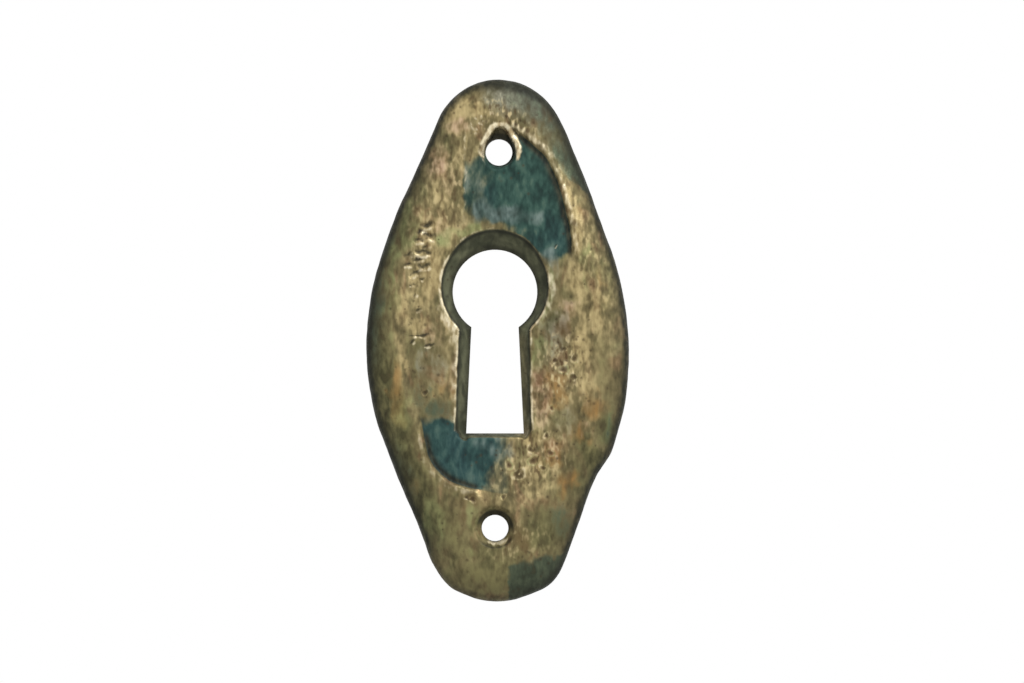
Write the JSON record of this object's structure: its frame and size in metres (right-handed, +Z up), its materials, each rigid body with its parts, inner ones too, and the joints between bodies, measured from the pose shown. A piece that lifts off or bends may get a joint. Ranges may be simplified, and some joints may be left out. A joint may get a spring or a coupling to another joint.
{
  "type": "keyhole escutcheon",
  "caption": "Oval cast brass keyhole plate with rounded ends, a domed rim, a shallow sunk field, a bevelled keyhole and a small screw hole near each end, worn and patinated.",
  "frame": {"origin": "halfway between the two screw holes, in the plane of the flat back face", "axes": "upright as fixed on a drawer front: the front faces -Y, the flat back lies in y = 0, +Z points up to the round end of the keyhole, +X is to the right seen from the front"},
  "size_m": [0.0256, 0.0028, 0.0508],
  "materials": {
    "aged_brass": "old cast brass, rubbed to dull gold on the high places, brown in the low ones, with patches of blue-green patina"
  },
  "bodies": {
    "root": {"escutcheon_plate": "aged_brass"}
  },
  "joints": []
}
